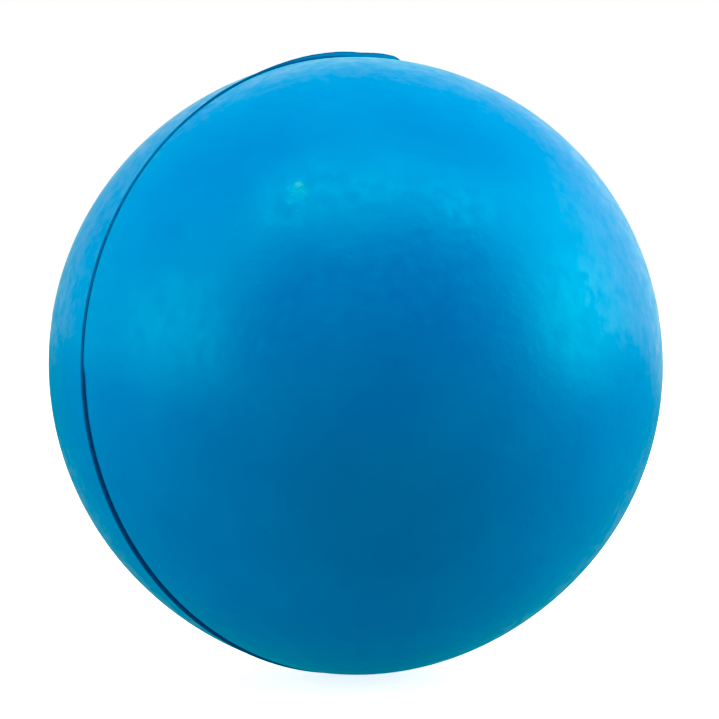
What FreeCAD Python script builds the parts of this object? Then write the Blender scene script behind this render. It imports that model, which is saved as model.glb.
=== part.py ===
import FreeCAD, Part

import math
import os

import Sketcher

# A moulded polyurethane foam stress ball, built in layers from the inside out: an open-cell foam
# core, the dense skin that the foam grew against each mould half, the paint film sprayed into each
# mould half, and the thin web of flash where the two mould halves met.
#
# Frame: the origin is the ball's centre and +Z is up. The mould halves parted along the XZ plane, so
# the Y axis runs through both poles, with the front half at -Y and the rear half at +Y. Every layer
# but the core is a closed profile in the XY plane, turned about the Y axis.

FRONT = -1
REAR = 1
FULL_TURN = 360.0
POLE_ANGLE = math.pi / 2

# Each size in millimetres, with its meaning.
SIZES = {
    "ball_diameter": (70.0, "over the paint, pole to pole"),
    "coat_thickness": (0.15, "elastic paint film"),
    "skin_thickness": (1.2, "dense integral skin under the paint"),
    "flash_thickness": (0.4, "web of flash between the two halves"),
    "flash_stub": (0.35, "how far the trimmed flash stands proud of the paint"),
    "shoulder_width": (1.2, "reach of the front half's rounded shoulder from its rim"),
    "shoulder_radius": (2.5, "roundness of that shoulder, over the paint"),
}

# Depths of the layers' faces below the paint's outer face.
OUTSIDE = "0"
UNDER_PAINT = "Sizes.coat_thickness"
UNDER_SKIN = "(Sizes.coat_thickness + Sizes.skin_thickness)"

BALL_RADIUS = "Sizes.ball_diameter / 2"
RIM_OFFSET = "Sizes.flash_thickness / 2"

# Sketcher's own numbers for the origin, the vertical axis and the points of an edge.
ORIGIN = (-1, 1)
AXIS = -2
START = 1
END = 2
CENTRE = 3


def make_sheet(doc):
    """Write the driving dimensions as named cells."""
    sheet = doc.addObject("Spreadsheet::Sheet", "Sizes")
    for row, (alias, (value, meaning)) in enumerate(SIZES.items(), start=1):
        sheet.set(f"A{row}", alias)
        sheet.set(f"B{row}", str(value))
        sheet.set(f"C{row}", meaning)
        sheet.setAlias(f"B{row}", alias)
    doc.recompute()
    return sheet


def new_sketch(body, name):
    """Add a sketch on the body's own XY plane."""
    sketch = body.newObject("Sketcher::SketchObject", name)
    planes = [feature for feature in body.Origin.OriginFeatures if feature.Role == "XY_Plane"]
    sketch.AttachmentSupport = (planes[0], "")
    sketch.MapMode = "FlatFace"
    return sketch


def value_of(sketch, expression):
    """Work out an expression over the sheet, as a plain number."""
    return float(sketch.evalExpression(expression))


def bind(sketch, name, expression, kind, *where):
    """Add a named dimension and tie it to the sheet."""
    constraint = Sketcher.Constraint(kind, *where, value_of(sketch, expression))
    sketch.renameConstraint(sketch.addConstraint(constraint), name)
    sketch.setExpression(f"Constraints.{name}", expression)


def join(sketch, first, second):
    """Make two points of the profile meet."""
    sketch.addConstraint(Sketcher.Constraint("Coincident", *first, *second))


def add_arc(sketch, centre, radius, start_angle, end_angle):
    """Add an arc that runs anticlockwise between two angles."""
    circle = Part.Circle(centre, FreeCAD.Vector(0, 0, 1), radius)
    return sketch.addGeometry(Part.ArcOfCircle(circle, start_angle, end_angle))


def add_line(sketch, first, second):
    """Add a straight edge between two points that exist already."""
    start = sketch.getPoint(*first)
    end = sketch.getPoint(*second)
    line = sketch.addGeometry(Part.LineSegment(start, end))
    join(sketch, (line, START), first)
    join(sketch, (line, END), second)


def hold_height(sketch, name, expression, side, point):
    """Hold a point at a distance from the parting plane, on the given side."""
    ends = (*ORIGIN, *point) if side == REAR else (*point, *ORIGIN)
    bind(sketch, name, expression, "DistanceY", *ends)


def layer_face(sketch, name, side, depth, shoulder):
    """Draw one face of a layer from its pole to its rim, and return those two points."""
    layer_radius = f"{BALL_RADIUS} - {depth}"
    arc_end = RIM_OFFSET
    if shoulder:
        arc_end = f"({RIM_OFFSET} + Sizes.shoulder_width) * ({layer_radius}) / ({BALL_RADIUS})"
    radius = value_of(sketch, layer_radius)
    end_angle = side * math.asin(value_of(sketch, arc_end) / radius)
    angles = sorted((end_angle, side * POLE_ANGLE))
    arc = add_arc(sketch, FreeCAD.Vector(), radius, *angles)
    pole = (arc, END if side == REAR else START)
    rim = (arc, START if side == REAR else END)
    join(sketch, (arc, CENTRE), ORIGIN)
    bind(sketch, f"{name}_radius", layer_radius, "Radius", arc)
    sketch.addConstraint(Sketcher.Constraint("PointOnObject", *pole, AXIS))
    hold_height(sketch, f"{name}_arc_end", arc_end, side, rim)
    if shoulder:
        rim = add_shoulder(sketch, name, depth, rim, end_angle)
    return pole, rim


def add_shoulder(sketch, name, depth, arc_end, angle):
    """Round the front half's rim with an arc tangent to the ball, and return its rim point."""
    shoulder_radius = f"Sizes.shoulder_radius - {depth}"
    radius = value_of(sketch, shoulder_radius)
    tangent = sketch.getPoint(*arc_end)
    centre = tangent * (1 - radius / tangent.Length)
    rim_angle = math.asin((-value_of(sketch, RIM_OFFSET) - centre.y) / radius)
    shoulder = add_arc(sketch, centre, radius, angle, rim_angle)
    sketch.addConstraint(Sketcher.Constraint("Tangent", *arc_end, shoulder, START))
    bind(sketch, f"{name}_shoulder_radius", shoulder_radius, "Radius", shoulder)
    hold_height(sketch, f"{name}_rim", RIM_OFFSET, FRONT, (shoulder, END))
    return shoulder, END


def revolve(body, sketch):
    """Turn the profile about the Y axis, through both poles."""
    turned = body.newObject("PartDesign::Revolution", f"{body.Name}_turned")
    turned.Profile = sketch
    turned.ReferenceAxis = (sketch, ["V_Axis"])
    turned.Angle = FULL_TURN
    body.Tip = turned


def make_half_layer(doc, name, side, outer_depth, inner_depth):
    """Make a cup-shaped layer of one half, between two depths below the paint's outer face."""
    body = doc.addObject("PartDesign::Body", name)
    sketch = new_sketch(body, f"{name}_profile")
    outer_shoulder = side == FRONT
    inner_shoulder = side == FRONT and inner_depth != UNDER_SKIN
    outer_pole, outer_rim = layer_face(sketch, "outer", side, outer_depth, outer_shoulder)
    inner_pole, inner_rim = layer_face(sketch, "inner", side, inner_depth, inner_shoulder)
    add_line(sketch, outer_pole, inner_pole)
    add_line(sketch, outer_rim, inner_rim)
    revolve(body, sketch)
    return body


def make_flash(doc, name):
    """Make the ring of flash, from the core out to its trimmed edge."""
    body = doc.addObject("PartDesign::Body", name)
    sketch = new_sketch(body, f"{name}_profile")
    core_radius = f"{BALL_RADIUS} - {UNDER_SKIN}"
    trimmed_radius = f"{BALL_RADIUS} + Sizes.flash_stub"
    radius = value_of(sketch, core_radius)
    reach = value_of(sketch, trimmed_radius)
    half_thickness = value_of(sketch, RIM_OFFSET)
    rim_angle = math.asin(half_thickness / radius)
    inside = add_arc(sketch, FreeCAD.Vector(), radius, -rim_angle, rim_angle)
    corners = [FreeCAD.Vector(reach, side * half_thickness) for side in (FRONT, REAR)]
    trimmed = sketch.addGeometry(Part.LineSegment(*corners))
    join(sketch, (inside, CENTRE), ORIGIN)
    bind(sketch, "core_radius", core_radius, "Radius", inside)
    bind(sketch, "trimmed_radius", trimmed_radius, "DistanceX", *ORIGIN, trimmed, START)
    sketch.addConstraint(Sketcher.Constraint("Vertical", trimmed))
    for side, point in ((FRONT, START), (REAR, END)):
        label = "front" if side == FRONT else "rear"
        hold_height(sketch, f"{label}_face_inside", RIM_OFFSET, side, (inside, point))
        hold_height(sketch, f"{label}_face_outside", RIM_OFFSET, side, (trimmed, point))
        add_line(sketch, (inside, point), (trimmed, point))
    revolve(body, sketch)
    return body


def make_core(doc, name):
    """Make the open-cell foam inside both skins."""
    core = doc.addObject("Part::Sphere", name)
    core.setExpression("Radius", f"{BALL_RADIUS} - {UNDER_SKIN}")
    return core


def check(doc, nodes):
    """Stop if any object failed to build, or a sub-part isn't one sound solid."""
    for item in doc.Objects:
        if "Invalid" in item.State or "Error" in item.State:
            raise RuntimeError(f"{item.Name} failed: {item.State}")
        if item.isDerivedFrom("Sketcher::SketchObject") and not item.FullyConstrained:
            raise RuntimeError(f"{item.Name} is not fully constrained")
    for node in nodes:
        if node.Shape.isNull() or not node.Shape.isValid() or len(node.Shape.Solids) != 1:
            raise RuntimeError(f"{node.Label} is not one sound solid")


def main():
    """Build the ball and write each sub-part."""
    doc = FreeCAD.newDocument("stress_ball")
    make_sheet(doc)
    nodes = [
        make_core(doc, "foam_core"),
        make_half_layer(doc, "front_skin", FRONT, UNDER_PAINT, UNDER_SKIN),
        make_half_layer(doc, "rear_skin", REAR, UNDER_PAINT, UNDER_SKIN),
        make_half_layer(doc, "front_coat", FRONT, OUTSIDE, UNDER_PAINT),
        make_half_layer(doc, "rear_coat", REAR, OUTSIDE, UNDER_PAINT),
        make_flash(doc, "parting_flash"),
    ]
    for node in nodes:
        node.Label = node.Name
        node.Placement = FreeCAD.Placement()
    doc.recompute()
    check(doc, nodes)
    os.makedirs("parts", exist_ok=True)
    for node in nodes:
        node.Shape.exportStep(f"parts/{node.Label}.step")
        print(f"{node.Label}: {node.Shape.Volume:.1f} cubic millimetres")


main()
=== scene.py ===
"""A moulded polyurethane foam stress ball, built layer by layer around its CAD frame.

The ball is one foam moulding with a blue elastic paint skin. Its two mould halves met on the XZ
plane, so the poles lie on the Y axis, the front half is at -Y and the rear half at +Y. All lengths
are metres unless a name says millimetres.
"""

import logging
import math
from dataclasses import dataclass, field
from enum import Enum

import bmesh
import bpy
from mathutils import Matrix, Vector, noise


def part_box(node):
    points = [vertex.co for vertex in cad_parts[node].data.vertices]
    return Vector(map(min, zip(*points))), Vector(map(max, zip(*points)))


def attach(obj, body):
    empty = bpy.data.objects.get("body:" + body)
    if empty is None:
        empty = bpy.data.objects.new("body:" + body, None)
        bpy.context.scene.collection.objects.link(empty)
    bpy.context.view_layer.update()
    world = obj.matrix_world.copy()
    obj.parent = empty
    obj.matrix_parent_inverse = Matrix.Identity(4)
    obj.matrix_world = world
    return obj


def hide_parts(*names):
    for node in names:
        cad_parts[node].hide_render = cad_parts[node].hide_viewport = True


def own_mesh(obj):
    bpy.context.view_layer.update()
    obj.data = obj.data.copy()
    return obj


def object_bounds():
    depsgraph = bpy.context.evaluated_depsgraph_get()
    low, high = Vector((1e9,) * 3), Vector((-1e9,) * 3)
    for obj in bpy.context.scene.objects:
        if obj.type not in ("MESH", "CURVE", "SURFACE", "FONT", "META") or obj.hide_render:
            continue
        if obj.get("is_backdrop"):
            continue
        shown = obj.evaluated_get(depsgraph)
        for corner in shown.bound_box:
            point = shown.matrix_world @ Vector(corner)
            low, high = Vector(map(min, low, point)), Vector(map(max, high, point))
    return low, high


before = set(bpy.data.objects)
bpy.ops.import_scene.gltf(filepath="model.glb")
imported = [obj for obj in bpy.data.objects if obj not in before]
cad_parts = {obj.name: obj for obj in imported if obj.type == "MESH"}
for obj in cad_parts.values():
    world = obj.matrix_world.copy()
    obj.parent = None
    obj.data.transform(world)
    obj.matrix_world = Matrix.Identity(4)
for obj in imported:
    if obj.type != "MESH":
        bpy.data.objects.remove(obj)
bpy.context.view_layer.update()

logging.basicConfig(level=logging.INFO, format="%(message)s")
log = logging.getLogger("stress_ball")

MM = 0.001
FULL_TURN = math.tau
QUARTER_TURN = math.pi / 2
WEDGES = 12
WELD = 0.001 * MM
POLES = Vector((0, 1, 0))
UP = Vector((0, 0, 1))
LEAN_START = Vector((3.1, 1.7, 5.2))


class Half(Enum):
    """The two halves of the moulding, by the side of the parting plane that they are on."""

    FRONT = -1
    REAR = 1


def linear(hex_colour: str) -> tuple[float, float, float, float]:
    """Turn an sRGB hex colour into linear light.

    Args:
        hex_colour: six hex digits, such as "1f7bc0".

    Returns:
        Red, green, blue and an alpha of 1.
    """
    channels = [int(hex_colour[k:k + 2], 16) / 255 for k in (0, 2, 4)]
    bent = [c / 12.92 if c <= 0.04045 else ((c + 0.055) / 1.055) ** 2.4 for c in channels]
    return (*bent, 1.0)


def smooth_step(share: float) -> float:
    """Ease a share of 0 to 1 in and out."""
    share = min(max(share, 0.0), 1.0)
    return share * share * (3 - 2 * share)


# ----------------------------------------------------------------------------- shape of the moulding


@dataclass(frozen=True)
class Station:
    """The parting line at one place round the ball, in millimetres, by degrees from the top."""

    angle: float
    shoulder_drop: float
    shoulder_reach: float
    stub_height: float

    def shape(self) -> Vector:
        """The shoulder's drop, the shoulder's reach and the stub's height."""
        return Vector((self.shoulder_drop, self.shoulder_reach, self.stub_height))


@dataclass
class PartingLine:
    """How the two halves meet round the ball: a thin line above, a stepped groove below.

    The stub is the trimmed flash, which stands tall only in one short tail at the top.
    """

    stations: tuple[Station, ...] = (
        Station(-170, 0.36, 1.8, 0.12),
        Station(-130, 0.36, 1.7, 0.10),
        Station(-92, 0.28, 1.4, 0.08),
        Station(-89, 0.08, 0.8, 0.02),
        Station(-50, 0.06, 0.8, 0.01),
        Station(-26, 0.06, 0.9, 0.16),
        Station(0, 0.06, 1.0, 0.72),
        Station(8, 0.06, 1.0, 1.02),
        Station(13.2, 0.06, 1.0, 0.10),
        Station(60, 0.18, 1.2, 0.08),
        Station(120, 0.28, 1.5, 0.10),
        Station(165, 0.34, 1.7, 0.12),
    )
    samples_per_degree: int = 10
    samples: list[Vector] = field(init=False)

    def __post_init__(self) -> None:
        """Sample the line all the way round."""
        count = 360 * self.samples_per_degree
        self.samples = [self.between(k / self.samples_per_degree) for k in range(count)]

    def between(self, angle: float) -> Vector:
        """Ease from one station to the next.

        Args:
            angle: degrees from the top, 0 to 360, growing towards +X.

        Returns:
            The line's shape there, in metres.
        """
        first, last = self.stations[0], self.stations[-1]
        turned_angle = angle - 360 if angle - 360 >= first.angle else angle
        for before, after in zip(self.stations, self.stations[1:]):
            if before.angle <= turned_angle < after.angle:
                share = smooth_step((turned_angle - before.angle) / (after.angle - before.angle))
                return before.shape().lerp(after.shape(), share) * MM
        share = smooth_step((angle - last.angle) / (first.angle + 360 - last.angle))
        return last.shape().lerp(first.shape(), share) * MM

    def at(self, point: Vector) -> Vector:
        """Read the shoulder's drop, its reach and the stub's height beside a point."""
        angle = math.degrees(math.atan2(point.x, point.z))
        return self.samples[round(angle * self.samples_per_degree) % len(self.samples)]


@dataclass(frozen=True)
class Moulding:
    """The sizes of the ball's layers, and how far the real moulding is from a true sphere.

    The layers' sizes are the CAD nodes' own. The lean is a slow wobble in the whole outline, the
    sag a swelling at the bottom, and the flare the rear half's crisp rim.
    """

    radius: float
    skin_radius: float
    core_radius: float
    rim: float
    lean_out: float = 0.10 * MM
    lean_size: float = 28 * MM
    sag: float = 0.42 * MM
    sag_spread: float = math.radians(30)
    flare: float = 0.05 * MM
    flare_reach: float = 1.6 * MM
    line: PartingLine = field(default_factory=PartingLine)

    @classmethod
    def from_frame(cls) -> "Moulding":
        """Take the layers' sizes from the CAD nodes."""
        return cls(
            radius=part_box("rear_coat")[1].y,
            skin_radius=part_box("rear_skin")[1].y,
            core_radius=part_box("foam_core")[1].z,
            rim=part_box("parting_flash")[1].y,
        )

    def swell(self, direction: Vector) -> float:
        """Say how far the whole moulding stands out in one direction, all layers alike."""
        wobble = noise.noise(direction * (self.radius / self.lean_size) + LEAN_START)
        low = direction.angle(-UP)
        return self.lean_out * wobble + self.sag * math.exp(-((low / self.sag_spread) ** 2))

    def place(self, point: Vector, half: Half | None, depth_share: float) -> Vector:
        """Move a point of the nominal ball to where the real moulding has it.

        Args:
            point: a point on a true layer.
            half: the half it belongs to, or None for the core.
            depth_share: 1 in the paint, falling to 0 at the core, where the rim has no shape.

        Returns:
            The moved point.
        """
        direction = point.normalized()
        shift = self.swell(direction)
        if half:
            drop, reach, _ = self.line.at(point)
            from_rim = abs(point.y) - self.rim
            if half is Half.FRONT:
                shift -= depth_share * drop * max(0.0, 1 - from_rim / reach) ** 2
            else:
                shift += depth_share * self.flare * max(0.0, 1 - from_rim / self.flare_reach) ** 2
        return point + direction * shift


def turned(profile: list[Vector], closed: bool, steps: int) -> bmesh.types.BMesh:
    """Turn a profile in the XY half-plane once round the Y axis.

    One wedge is spun finely and then repeated round the axis, which is much quicker than one fine
    spin.

    Args:
        profile: the profile's points in order.
        closed: whether the last point joins the first, as on a ring.
        steps: how many segments go round, a multiple of the wedges.

    Returns:
        A closed mesh with outward faces.
    """
    bm = bmesh.new()
    verts = [bm.verts.new(point) for point in profile]
    pairs = list(zip(verts, verts[1:])) + ([(verts[-1], verts[0])] if closed else [])
    edges = [bm.edges.new(pair) for pair in pairs]
    wedge = FULL_TURN / WEDGES
    bmesh.ops.spin(
        bm, geom=verts + edges, cent=(0, 0, 0), axis=POLES, angle=wedge, steps=steps // WEDGES,
        use_duplicate=False,
    )
    bmesh.ops.spin(
        bm, geom=[*bm.verts, *bm.edges, *bm.faces], cent=(0, 0, 0), axis=POLES,
        angle=FULL_TURN - wedge, steps=WEDGES - 1, use_duplicate=True,
    )
    bmesh.ops.remove_doubles(bm, verts=bm.verts, dist=WELD)
    bmesh.ops.recalc_face_normals(bm, faces=bm.faces)
    return bm


def arc(radius: float, start: float, end: float, steps: int) -> list[Vector]:
    """List points on an arc about the ball's centre, by angle from the parting plane."""
    angles = [start + (end - start) * k / steps for k in range(steps + 1)]
    return [Vector((radius * math.cos(a), radius * math.sin(a), 0)) for a in angles]


def finished(name: str, bm: bmesh.types.BMesh, material: bpy.types.Material) -> bpy.types.Object:
    """Make a smooth-shaded object at the origin from a mesh being built.

    Args:
        name: the piece's name.
        bm: its mesh, which is freed.
        material: its finish.

    Returns:
        The linked object.
    """
    mesh = bpy.data.meshes.new(name)
    bm.to_mesh(mesh)
    bm.free()
    mesh.shade_smooth()
    mesh.materials.append(material)
    piece = bpy.data.objects.new(name, mesh)
    bpy.context.scene.collection.objects.link(piece)
    return piece


# ------------------------------------------------------------------------------------------ finishes


def add(
    tree: bpy.types.NodeTree, kind: str, settings: dict[str, object], inputs: dict[str | int, object],
) -> bpy.types.Node:
    """Add a node with its settings and its inputs.

    Args:
        tree: the material's node tree.
        kind: the node's type name.
        settings: the node's own properties; "ramp" gives a colour ramp's stops.
        inputs: a value or another node's output for each input.

    Returns:
        The new node.
    """
    node = tree.nodes.new(kind)
    for key, value in settings.items():
        if key == "ramp":
            for _ in value[2:]:
                node.color_ramp.elements.new(0.5)
            for element, (position, colour) in zip(node.color_ramp.elements, value):
                element.position = position
                element.color = colour
        else:
            setattr(node, key, value)
    for key, value in inputs.items():
        if isinstance(value, bpy.types.NodeSocket):
            tree.links.new(value, node.inputs[key])
        else:
            node.inputs[key].default_value = value
    return node


def grey(level: float) -> tuple[float, float, float, float]:
    """Give a ramp stop the same value in each channel."""
    return (level, level, level, 1.0)


def blank(name: str) -> tuple[bpy.types.Material, bpy.types.NodeTree]:
    """Make a material with an empty node tree."""
    material = bpy.data.materials.new(name)
    material.use_nodes = True
    material.node_tree.nodes.clear()
    return material, material.node_tree


@dataclass(frozen=True)
class ElasticPaint:
    """Elastic polyurethane paint, sprayed on the foam in one thick satin coat.

    It gives the eye a deep cyan-blue with a soft sheen and a pale bloom towards the rims, satin
    flecks and fine orange peel that break up the highlights, a few pinholes where bubbles in the
    foam opened, and one small crazed patch whose flecks are drawn lighter, partly as a painted glint.
    """

    name: str = "elastic_polyurethane_paint"
    colour: str = "008ce8"
    thin_colour: str = "0091eb"
    thick_colour: str = "0087e5"
    gloss: float = 1.0
    gloss_tint: str = "00ffff"
    bloom: float = 0.22
    bloom_spread: float = 0.35
    bloom_tint: str = "20ff90"
    roughness: float = 0.38
    roughness_spread: float = 0.07
    # Pigment flecks are about 0.1 mm across. They are drawn coarser, as clusters, so that they show.
    fleck_size: float = 1.6 * MM
    peel_size: float = 1.1 * MM
    peel_strength: float = 0.5
    peel_depth: float = 0.06 * MM
    wave_size: float = 9 * MM
    wave_strength: float = 0.35
    wave_depth: float = 0.3 * MM
    # A pinhole's floor and rim are shares of the spacing. They make it about twice as wide as a real
    # one, so that it shows.
    pinhole_spacing: float = 5.5 * MM
    pinhole_floor: float = 0.02
    pinhole_rim: float = 0.055
    # The crazed flecks' lighter colour is partly paler dried paint and partly a painted glint; the
    # crazing itself is in the bump and the roughness.
    craze_glint_colour: str = "66c2ee"
    craze_centre: tuple[float, float, float] = (-0.0210, -0.0209, 0.0185)
    craze_stretch: tuple[float, float, float] = (1.15, 1.15, 0.5)
    craze_reach: float = 3.4 * MM
    craze_grain: float = 1.05 * MM
    craze_lift: float = 0.56
    craze_from: float = 0.88
    craze_full: float = 1.16
    craze_roughness: float = 0.2
    craze_rise: float = 0.8

    def material(self) -> bpy.types.Material:
        """Build the paint's nodes.

        Returns:
            The material.
        """
        material, tree = blank(self.name)
        place = add(tree, "ShaderNodeTexCoord", {}, {}).outputs["Object"]
        wave = add(tree, "ShaderNodeTexNoise", {}, {"Vector": place, "Scale": 1 / self.wave_size,
                   "Detail": 3.0, "Roughness": 0.55}).outputs["Fac"]
        peel = add(tree, "ShaderNodeTexNoise", {}, {"Vector": place, "Scale": 1 / self.peel_size,
                   "Detail": 2.5, "Roughness": 0.6}).outputs["Fac"]
        holes = add(tree, "ShaderNodeTexVoronoi", {}, {"Vector": place,
                    "Scale": 1 / self.pinhole_spacing, "Randomness": 1.0}).outputs["Distance"]
        pits = add(tree, "ShaderNodeValToRGB", {"ramp": [
            (self.pinhole_floor, grey(1)), (self.pinhole_rim, grey(0))]},
            {"Fac": holes}).outputs["Color"]
        craze = self.crazing(tree, place)

        tone = add(tree, "ShaderNodeValToRGB", {"ramp": [
            (0.3, linear(self.thick_colour)), (0.5, linear(self.colour)),
            (0.7, linear(self.thin_colour))]}, {"Fac": wave}).outputs["Color"]
        # The crazed flecks take the lighter colour, partly a painted glint.
        flecked = add(tree, "ShaderNodeMix", {"data_type": "RGBA"}, {
            "Factor": craze, 6: tone, 7: linear(self.craze_glint_colour)}).outputs[2]

        flecks = add(tree, "ShaderNodeTexNoise", {}, {"Vector": place, "Scale": 1 / self.fleck_size,
                     "Detail": 2.0, "Roughness": 0.65}).outputs["Fac"]
        satin = add(tree, "ShaderNodeMapRange", {}, {
            "Value": flecks, "From Min": 0.35, "From Max": 0.65,
            "To Min": self.roughness - self.roughness_spread,
            "To Max": self.roughness + self.roughness_spread}).outputs["Result"]
        rough = add(tree, "ShaderNodeMath", {"operation": "MULTIPLY_ADD"}, {
            0: craze, 1: self.craze_roughness, 2: satin}).outputs[0]

        rise = add(tree, "ShaderNodeMath", {"operation": "MULTIPLY_ADD"}, {
            0: craze, 1: self.craze_rise, 2: peel}).outputs[0]
        fall = add(tree, "ShaderNodeMath", {"operation": "SUBTRACT"}, {0: rise, 1: pits}).outputs[0]
        fine = add(tree, "ShaderNodeBump", {}, {"Strength": self.peel_strength,
                   "Distance": self.peel_depth, "Height": fall}).outputs["Normal"]
        broad = add(tree, "ShaderNodeBump", {}, {"Strength": self.wave_strength,
                    "Distance": self.wave_depth, "Height": wave, "Normal": fine}).outputs["Normal"]

        coat = add(tree, "ShaderNodeBsdfPrincipled", {}, {
            "Base Color": flecked, "Roughness": rough, "IOR": 1.5, "Specular IOR Level": self.gloss,
            "Specular Tint": linear(self.gloss_tint), "Sheen Weight": self.bloom,
            "Sheen Roughness": self.bloom_spread, "Sheen Tint": linear(self.bloom_tint),
            "Normal": broad})
        add(tree, "ShaderNodeOutputMaterial", {}, {"Surface": coat.outputs["BSDF"]})
        return material

    def crazing(self, tree: bpy.types.NodeTree, place: bpy.types.NodeSocket) -> bpy.types.NodeSocket:
        """Mask the small patch where the paint dried in flecks, which also get a lighter colour as a
        painted glint.

        Args:
            tree: the paint's node tree.
            place: object coordinates.

        Returns:
            An output that is 1 on the flecks and 0 elsewhere.
        """
        offset = add(tree, "ShaderNodeVectorMath", {"operation": "SUBTRACT"}, {
            0: place, 1: self.craze_centre}).outputs["Vector"]
        scaled = add(tree, "ShaderNodeVectorMath", {"operation": "MULTIPLY"}, {
            0: offset, 1: self.craze_stretch}).outputs["Vector"]
        away = add(tree, "ShaderNodeVectorMath", {"operation": "LENGTH"}, {0: scaled}).outputs["Value"]
        patch = add(tree, "ShaderNodeMapRange", {"interpolation_type": "SMOOTHSTEP"}, {
            "Value": away, "From Min": 0.0, "From Max": self.craze_reach,
            "To Min": self.craze_lift, "To Max": 0.0}).outputs["Result"]
        grain = add(tree, "ShaderNodeTexNoise", {}, {"Vector": place, "Scale": 1 / self.craze_grain,
                    "Detail": 2.5, "Distortion": 0.3}).outputs["Fac"]
        level = add(tree, "ShaderNodeMath", {"operation": "ADD"}, {0: grain, 1: patch}).outputs[0]
        return add(tree, "ShaderNodeMapRange", {}, {
            "Value": level, "From Min": self.craze_from, "From Max": self.craze_full,
        }).outputs["Result"]


@dataclass(frozen=True)
class PaintedFlash:
    """Trimmed foam flash under a thin coat of the same paint.

    It gives the eye a dark navy line, which is painted shade for the groove along the parting line,
    and the paint's own mid-blue on the sides where the tail stands clear of the groove.
    """

    name: str = "painted_foam_flash"
    # Painted shade: the navy stands for the shade in the groove and on the cut edge.
    colour: str = "00569a"
    worn_colour: str = "1a84bd"
    side_colour: str = "0a84c8"
    gloss_tint: str = "00ffff"
    # The cut foam's cells are about 0.4 mm across. They are drawn twice as coarse so that they show.
    grain_size: float = 0.8 * MM
    grain_strength: float = 0.5
    grain_depth: float = 0.06 * MM
    worn_from: float = 0.58
    worn_full: float = 0.8
    worn_share: float = 0.7
    clear_from: float = 35.12 * MM
    clear_at: float = 35.35 * MM

    def material(self) -> bpy.types.Material:
        """Build the flash's nodes.

        Returns:
            The material.
        """
        material, tree = blank(self.name)
        place = add(tree, "ShaderNodeTexCoord", {}, {}).outputs["Object"]
        grain = add(tree, "ShaderNodeTexNoise", {}, {"Vector": place, "Scale": 1 / self.grain_size,
                    "Detail": 3.0}).outputs["Fac"]
        flecked = add(tree, "ShaderNodeValToRGB", {"ramp": [
            (self.worn_from, grey(0)), (self.worn_full, grey(self.worn_share))]},
            {"Fac": grain}).outputs["Color"]
        # The navy here is painted shade for the groove; the lighter flecks over it are wear.
        edge = add(tree, "ShaderNodeMix", {"data_type": "RGBA"}, {
            "Factor": flecked, 6: linear(self.colour), 7: linear(self.worn_colour)}).outputs[2]
        tone = add(tree, "ShaderNodeMix", {"data_type": "RGBA"}, {
            "Factor": self.sides(tree, place), 6: edge, 7: linear(self.side_colour)}).outputs[2]
        rough = add(tree, "ShaderNodeMapRange", {}, {"Value": grain, "To Min": 0.5, "To Max": 0.7})
        bump = add(tree, "ShaderNodeBump", {}, {"Strength": self.grain_strength,
                   "Distance": self.grain_depth, "Height": grain})
        coat = add(tree, "ShaderNodeBsdfPrincipled", {}, {
            "Base Color": tone, "Roughness": rough.outputs["Result"], "IOR": 1.5,
            "Specular Tint": linear(self.gloss_tint), "Normal": bump.outputs["Normal"]})
        add(tree, "ShaderNodeOutputMaterial", {}, {"Surface": coat.outputs["BSDF"]})
        return material

    def sides(self, tree: bpy.types.NodeTree, place: bpy.types.NodeSocket) -> bpy.types.NodeSocket:
        """Mask the sides of the flash that stand clear of the ball.

        Args:
            tree: the flash's node tree.
            place: object coordinates.

        Returns:
            An output that is 1 on the clear sides and 0 on the cut edge.
        """
        outward = add(tree, "ShaderNodeVectorMath", {"operation": "NORMALIZE"}, {0: place})
        facing = add(tree, "ShaderNodeTexCoord", {}, {}).outputs["Normal"]
        upright = add(tree, "ShaderNodeVectorMath", {"operation": "DOT_PRODUCT"}, {
            0: outward.outputs["Vector"], 1: facing}).outputs["Value"]
        wall = add(tree, "ShaderNodeMapRange", {}, {
            "Value": upright, "From Min": 0.2, "From Max": 0.7, "To Min": 1.0, "To Max": 0.0})
        far = add(tree, "ShaderNodeVectorMath", {"operation": "LENGTH"}, {0: place}).outputs["Value"]
        clear = add(tree, "ShaderNodeMapRange", {}, {
            "Value": far, "From Min": self.clear_from, "From Max": self.clear_at})
        return add(tree, "ShaderNodeMath", {"operation": "MULTIPLY"}, {
            0: wall.outputs["Result"], 1: clear.outputs["Result"]}).outputs[0]


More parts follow.
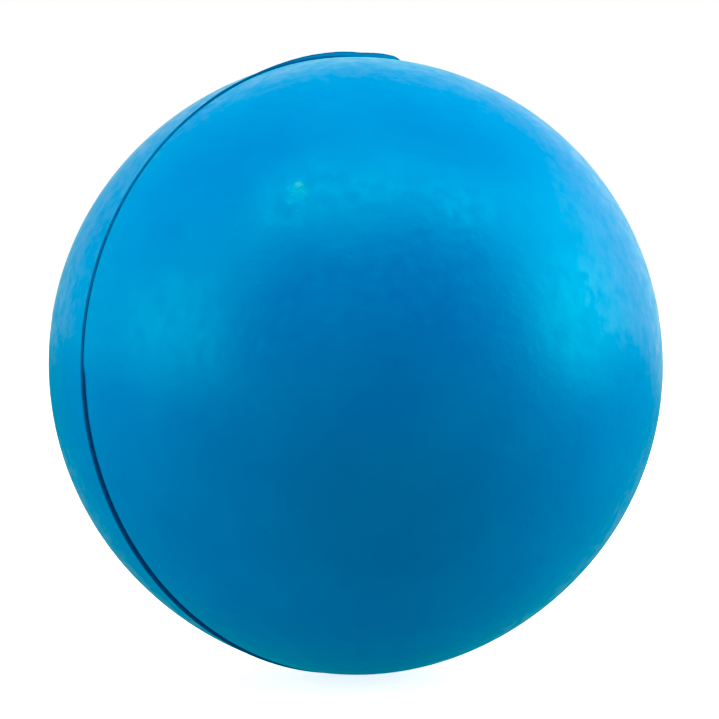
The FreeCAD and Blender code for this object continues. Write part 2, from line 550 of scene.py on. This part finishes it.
@dataclass(frozen=True)
class Foam:
    """Flexible polyurethane foam as it comes from the mould, cream because it isn't dyed.

    It gives the eye a matt cream with round open cells: very fine in the skin that set against
    the mould, and coarser in the body. The real cells are about 0.1 mm across in the skin and
    0.4 mm in the body, and both are drawn coarser so that they show. The cells are drawn in a
    darker cream, as painted shade in their hollows.
    """

    name: str
    colour: str
    # Painted shade: the darker cream drawn in the open cells' hollows.
    cell_shade_colour: str
    cell_size: float
    pit_depth: float

    def material(self) -> bpy.types.Material:
        """Build the foam's nodes.

        Returns:
            The material.
        """
        material, tree = blank(self.name)
        place = add(tree, "ShaderNodeTexCoord", {}, {}).outputs["Object"]
        cells = add(tree, "ShaderNodeTexVoronoi", {}, {"Vector": place,
                    "Scale": 1 / self.cell_size}).outputs["Distance"]
        cloud = add(tree, "ShaderNodeTexNoise", {}, {"Vector": place, "Scale": 0.15 / self.cell_size,
                    "Detail": 3.0}).outputs["Fac"]
        open_cells = add(tree, "ShaderNodeMapRange", {"interpolation_type": "SMOOTHSTEP"}, {
            "Value": cells, "From Min": 0.15, "From Max": 0.55}).outputs["Result"]
        # The cells' hollows take the darker cream, as painted shade.
        tone = add(tree, "ShaderNodeMix", {"data_type": "RGBA"}, {
            "Factor": open_cells, 6: linear(self.cell_shade_colour), 7: linear(self.colour)}).outputs[2]
        rough = add(tree, "ShaderNodeMapRange", {}, {"Value": cloud, "To Min": 0.8, "To Max": 0.95})
        bump = add(tree, "ShaderNodeBump", {}, {
            "Strength": 0.8, "Distance": self.pit_depth, "Height": open_cells})
        body = add(tree, "ShaderNodeBsdfPrincipled", {}, {
            "Base Color": tone, "Roughness": rough.outputs["Result"], "IOR": 1.5,
            "Normal": bump.outputs["Normal"]})
        add(tree, "ShaderNodeOutputMaterial", {}, {"Surface": body.outputs["BSDF"]})
        return material


# -------------------------------------------------------------------------------------------- pieces


@dataclass
class SquashTravel:
    """What carries a layer with the body it rides on as the halves travel towards each other."""

    radius: float

    def follow(self, piece: bpy.types.Object, body: str) -> None:
        """Make a piece ride on a body, with a mesh of its own.

        Args:
            piece: the finished piece.
            body: the CAD body it rides on.
        """
        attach(piece, body)
        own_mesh(piece)


@dataclass
class MouldedHalf:
    """One half of the ball: its foam skin and the paint over it, as two closed shells."""

    half: Half
    moulding: Moulding
    paint: bpy.types.Material
    foam: bpy.types.Material
    around: int = 360
    rim_steps: int = 26
    rim_reach: float = 3.2 * MM
    rim_gap: float = 0.02 * MM
    body_steps: int = 60

    @property
    def word(self) -> str:
        """The half's name, as the CAD nodes have it."""
        return self.half.name.lower()

    def shell_profile(self, outer: float, inner: float) -> list[Vector]:
        """List a shell's profile, from the outer pole round the rim to the inner pole.

        Args:
            outer: the outer radius.
            inner: the inner radius.

        Returns:
            The profile's points, on the half's own side.
        """
        rim = self.moulding.rim
        near = math.asin(rim / outer)
        reach = math.asin((rim + self.rim_reach) / outer)
        outside = arc(outer, QUARTER_TURN, reach, self.body_steps)[:-1]
        outside += arc(outer, reach, near, self.rim_steps)
        outside[0] = Vector((0, outer, 0))
        scaled = [point * (inner / outer) for point in reversed(outside[1:-1])]
        start = Vector((math.sqrt(inner**2 - rim**2), rim, 0))
        inside = [start] + [p for p in scaled if p.y > rim + self.rim_gap]
        inside.append(Vector((0, inner, 0)))
        side = self.half.value
        return [Vector((p.x, p.y * side, 0)) for p in outside + inside]

    def shell(
        self, name: str, outer: float, inner: float, material: bpy.types.Material,
    ) -> bpy.types.Object:
        """Turn, shape and finish one shell.

        Args:
            name: the piece's name.
            outer: the outer radius.
            inner: the inner radius.
            material: its finish.

        Returns:
            The shell.
        """
        moulding = self.moulding
        bm = turned(self.shell_profile(outer, inner), False, self.around)
        depth = moulding.skin_radius - moulding.core_radius
        for vert in bm.verts:
            share = min((vert.co.length - moulding.core_radius) / depth, 1.0)
            vert.co = moulding.place(vert.co.copy(), self.half, max(share, 0.0))
        return finished(name, bm, material)

    def build(self, travel: SquashTravel) -> None:
        """Build the half's two shells and join them to the frame.

        Args:
            travel: what joins the half's shells to its body.
        """
        moulding = self.moulding
        skin = self.shell(
            f"{self.word}_foam_skin", moulding.skin_radius, moulding.core_radius, self.foam)
        coat = self.shell(f"{self.word}_paint", moulding.radius, moulding.skin_radius, self.paint)
        for piece, node, slot in ((skin, "skin", "skin"), (coat, "coat", "paint")):
            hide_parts(f"{self.word}_{node}")
            travel.follow(piece, f"{self.word}_half")
            log.info("%s: %d faces", piece.name, len(piece.data.polygons))


@dataclass
class FlashRib:
    """The web of foam that squeezed out between the mould halves, trimmed close but for one tail.

    The clearance keeps its two sides off the skins' rims, so that no faces lie on one another when
    the ball is squeezed. The crown is the depth over which the outer edge rounds off, and its
    shares say where the edge turns. The snags are the knife's small tears, and the drift its slow
    wander.
    """

    moulding: Moulding
    material: bpy.types.Material
    around: int = 1080
    web_steps: int = 6
    clearance: float = 0.01 * MM
    crown: float = 0.08 * MM
    crown_drop: float = 0.3
    crown_turn: float = 0.72
    crown_flat: float = 0.3
    snag_size: float = 0.9 * MM
    snag_share: float = 0.03
    drift_size: float = 3.5 * MM
    drift_share: float = 0.06

    def profile(self) -> list[Vector]:
        """List the web's closed profile at its nominal height, with a rounded outer edge."""
        half = self.moulding.rim - self.clearance
        root = self.moulding.core_radius
        top = self.moulding.radius
        brow = top - self.crown
        turn = top - self.crown * self.crown_drop
        upper = [(brow, half), (turn, half * self.crown_turn), (top, half * self.crown_flat)]
        edge = upper + [(out, -side) for out, side in reversed(upper)]
        web = [(root + (brow - root) * k / self.web_steps, half) for k in range(1, self.web_steps)]
        back = [(out, -half) for out, _ in reversed(web)]
        foot = [(root, -half), (root, half)]
        return [Vector((out, side, 0)) for out, side in edge + back + foot + web]

    def build(self, travel: SquashTravel) -> None:
        """Turn the web, raise its edge round the ball, and join it to the frame.

        Args:
            travel: what joins the web to the core.
        """
        moulding = self.moulding
        bm = turned(self.profile(), True, self.around)
        reach = moulding.radius - moulding.core_radius
        for vert in bm.verts:
            height = moulding.line.at(vert.co).z
            direction = vert.co.normalized()
            snag = noise.noise(direction * (moulding.radius / self.snag_size))
            drift = noise.noise(direction * (moulding.radius / self.drift_size))
            ragged = (snag * self.snag_share + drift * self.drift_share) * height
            share = max(0.0, (math.hypot(vert.co.x, vert.co.z) - moulding.core_radius) / reach)
            raised = (height + ragged) * share**2
            vert.co += direction * (moulding.swell(direction) + raised)
        rib = finished("flash_rib", bm, self.material)
        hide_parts("parting_flash")
        travel.follow(rib, "core")
        log.info("flash_rib: %d faces", len(rib.data.polygons))


@dataclass
class FoamCore:
    """The soft foam body that fills the ball."""

    moulding: Moulding
    material: bpy.types.Material
    around: int = 180
    body_steps: int = 90

    def build(self, travel: SquashTravel) -> None:
        """Turn the body, give it the moulding's lean, and join it to the frame.

        Args:
            travel: what joins the body to the core.
        """
        radius = self.moulding.core_radius
        profile = arc(radius, QUARTER_TURN, -QUARTER_TURN, self.body_steps * 2)
        profile[0] = Vector((0, radius, 0))
        profile[-1] = Vector((0, -radius, 0))
        bm = turned(profile, False, self.around)
        for vert in bm.verts:
            vert.co = self.moulding.place(vert.co.copy(), None, 0.0)
        core = finished("soft_foam_core", bm, self.material)
        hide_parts("foam_core")
        travel.follow(core, "core")
        log.info("soft_foam_core: %d faces", len(core.data.polygons))


# -------------------------------------------------------------------------------------------- studio


def heading(azimuth: float, elevation: float) -> Vector:
    """Point away from the ball's centre.

    Args:
        azimuth: degrees round the ball from the front pole, growing towards +X.
        elevation: degrees above the horizon.

    Returns:
        The unit vector.
    """
    turn = math.radians(azimuth)
    tilt = math.radians(elevation)
    level = math.cos(tilt)
    return Vector((math.sin(turn) * level, -math.cos(turn) * level, math.sin(tilt)))


@dataclass(frozen=True)
class Viewpoint:
    """Where the camera stands, as an angle round the ball, a height angle and a distance."""

    azimuth: float = -33.4
    elevation: float = 1.6
    distance: float = 265.7 * MM
    lens: float = 115.8
    shift: tuple[float, float] = (0.0050, 0.0064)
    clip: tuple[float, float] = (0.01, 60.0)

    def place(self) -> None:
        """Make the camera and use it."""
        data = bpy.data.cameras.new("camera")
        data.lens = self.lens
        data.clip_start, data.clip_end = self.clip
        data.shift_x, data.shift_y = self.shift
        data.dof.use_dof = False
        camera = bpy.data.objects.new("camera", data)
        back = heading(self.azimuth, self.elevation)
        camera.location = back * self.distance
        camera.rotation_euler = back.to_track_quat("Z", "Y").to_euler()
        bpy.context.scene.collection.objects.link(camera)
        bpy.context.scene.camera = camera


@dataclass(frozen=True)
class Softbox:
    """A rectangular soft light that faces the ball.

    The angles are degrees, the sizes and the distance metres, and the power watts.
    """

    name: str
    azimuth: float
    elevation: float
    width: float
    height: float
    power: float
    distance: float = 0.55
    colour: str = "fffff5"

    def place(self) -> None:
        """Make the light and turn it to the ball."""
        data = bpy.data.lights.new(self.name, "AREA")
        data.shape = "RECTANGLE"
        data.size = self.width
        data.size_y = self.height
        data.energy = self.power
        data.color = linear(self.colour)[:3]
        lamp = bpy.data.objects.new(self.name, data)
        way = heading(self.azimuth, self.elevation)
        lamp.location = way * self.distance
        lamp.rotation_euler = way.to_track_quat("Z", "Y").to_euler()
        lamp.visible_camera = False
        bpy.context.scene.collection.objects.link(lamp)


@dataclass(frozen=True)
class Studio:
    """A pale floor, a white surround and soft lights.

    The floor shows brighter than it lights the ball: it has one glow and colour for the eye, and a
    weaker underlight and bounce for the ball. The dark side is where the surround is dimmed. The
    red black level takes the last faint red out of the blues.
    """

    floor_size: float = 6.0
    floor_colour: str = "f4f5f6"
    floor_glow: float = 0.8
    floor_glow_reach: tuple[float, float] = (0.2, 1.2)
    floor_bounce: float = 0.11
    floor_underlight: float = 0.36
    floor_underlight_centre: tuple[float, float, float] = (0.05, 0.075, 0.0)
    floor_underlight_reach: tuple[float, float] = (0.04, 0.26)
    floor_fade: float = 0.28
    surround: float = 0.76
    surround_fall: tuple[float, float] = (-0.6, 0.9)
    dark_side: float = -33.0
    red_black_level: float = 0.075
    boxes: tuple[Softbox, ...] = (
        Softbox("top_box", -33, 66, 0.34, 0.28, 0.86),
        Softbox("top_left_lamp", -80, 56, 0.13, 0.17, 0.27),
        Softbox("top_right_lamp", 28, 55, 0.13, 0.17, 0.35),
        Softbox("upper_left_box", -94, 37, 0.34, 0.26, 0.22),
        Softbox("left_box", -100, 12, 0.42, 0.28, 0.88),
        Softbox("right_box", 51, 12, 0.34, 0.28, 0.96),
        Softbox("upper_right_box", 48, 38, 0.30, 0.26, 0.38),
        Softbox("far_right_box", 78, 22, 0.26, 0.40, 0.46),
        Softbox("rear_left_box", -140, 8, 0.26, 0.40, 0.20),
        Softbox("rear_right_box", 116, 6, 0.26, 0.40, 0.22),
        Softbox("rear_box", 147, 20, 0.50, 0.40, 0.30, 0.8),
        Softbox("rear_top_box", 147, 63, 0.50, 0.50, 0.08, 0.8),
    )

    def floor(self) -> None:
        """Lay the floor, opal acrylic lit from below and clean white to the eye, under the ball."""
        bm = bmesh.new()
        bmesh.ops.create_circle(bm, cap_ends=True, radius=self.floor_size, segments=96)
        bmesh.ops.translate(bm, verts=bm.verts, vec=(0, 0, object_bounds()[0].z))
        material, tree = blank("pale_light_table")
        place = add(tree, "ShaderNodeTexCoord", {}, {}).outputs["Object"]
        away = add(tree, "ShaderNodeVectorMath", {"operation": "LENGTH"}, {0: place}).outputs["Value"]
        glow = add(tree, "ShaderNodeMapRange", {"interpolation_type": "SMOOTHSTEP"}, {
            "Value": away, "From Min": self.floor_glow_reach[0], "From Max": self.floor_glow_reach[1],
            "To Min": self.floor_glow, "To Max": 1.0}).outputs["Result"]
        seen = add(tree, "ShaderNodeLightPath", {}, {}).outputs["Is Camera Ray"]
        behind = add(tree, "ShaderNodeVectorMath", {"operation": "DISTANCE"}, {
            0: place, 1: self.floor_underlight_centre}).outputs["Value"]
        under = add(tree, "ShaderNodeMapRange", {"interpolation_type": "SMOOTHSTEP"}, {
            "Value": behind, "From Min": self.floor_underlight_reach[0],
            "From Max": self.floor_underlight_reach[1], "To Min": self.floor_underlight,
            "To Max": self.floor_underlight * self.floor_fade}).outputs["Result"]
        lift = add(tree, "ShaderNodeMix", {"data_type": "FLOAT"}, {
            "Factor": seen, 2: under, 3: glow}).outputs[0]
        tone = add(tree, "ShaderNodeMix", {"data_type": "RGBA"}, {
            "Factor": seen, 6: grey(self.floor_bounce), 7: linear(self.floor_colour)}).outputs[2]
        acrylic = add(tree, "ShaderNodeBsdfPrincipled", {}, {
            "Base Color": tone, "Roughness": 0.8, "Emission Color": grey(1), "Emission Strength": lift})
        add(tree, "ShaderNodeOutputMaterial", {}, {"Surface": acrylic.outputs["BSDF"]})
        finished("floor", bm, material)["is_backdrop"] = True

    def world(self) -> None:
        """Surround the ball with white, dimmed in what it lights so that the softboxes shape it."""
        world = bpy.data.worlds.new("white_surround")
        world.use_nodes = True
        tree = world.node_tree
        tree.nodes.clear()
        seen = add(tree, "ShaderNodeLightPath", {}, {}).outputs["Is Camera Ray"]
        way = add(tree, "ShaderNodeTexCoord", {}, {}).outputs["Generated"]
        ahead = add(tree, "ShaderNodeVectorMath", {"operation": "DOT_PRODUCT"}, {
            0: way, 1: heading(self.dark_side, 0)}).outputs["Value"]
        falling = add(tree, "ShaderNodeMapRange", {"interpolation_type": "SMOOTHSTEP"}, {
            "Value": ahead, "From Min": self.surround_fall[0], "From Max": self.surround_fall[1],
            "To Min": 1.0, "To Max": 0.0}).outputs["Result"]
        lit = add(tree, "ShaderNodeBackground", {}, {"Color": falling, "Strength": self.surround})
        white = add(tree, "ShaderNodeBackground", {}, {"Color": grey(1), "Strength": 1.0})
        both = add(tree, "ShaderNodeMixShader", {}, {
            0: seen, 1: lit.outputs[0], 2: white.outputs[0]})
        add(tree, "ShaderNodeOutputWorld", {}, {"Surface": both.outputs[0]})
        bpy.context.scene.world = world

    def build(self) -> None:
        """Set up the floor, the surround and the lights."""
        self.floor()
        self.world()
        for box in self.boxes:
            box.place()
        response = bpy.context.scene.view_settings
        response.view_transform = "Standard"
        response.use_curve_mapping = True
        response.curve_mapping.black_level = (self.red_black_level, 0.0, 0.0)


def main() -> None:
    """Build the ball from the core out, then the studio round it."""
    Viewpoint().place()
    moulding = Moulding.from_frame()
    travel = SquashTravel(moulding.radius)
    paint = ElasticPaint().material()
    flash = PaintedFlash().material()
    skin = Foam(
        "moulded_foam_skin", colour="e9dfc6", cell_shade_colour="cfc2a2",
        cell_size=0.5 * MM, pit_depth=0.05 * MM,
    ).material()
    body = Foam(
        "slow_rebound_foam", colour="efe6cf", cell_shade_colour="c9bb98",
        cell_size=1.2 * MM, pit_depth=0.3 * MM,
    ).material()
    FoamCore(moulding, body).build(travel)
    for half in Half:
        MouldedHalf(half, moulding, paint, skin).build(travel)
    FlashRib(moulding, flash).build(travel)
    Studio().build()


if __name__ == "__main__":
    main()
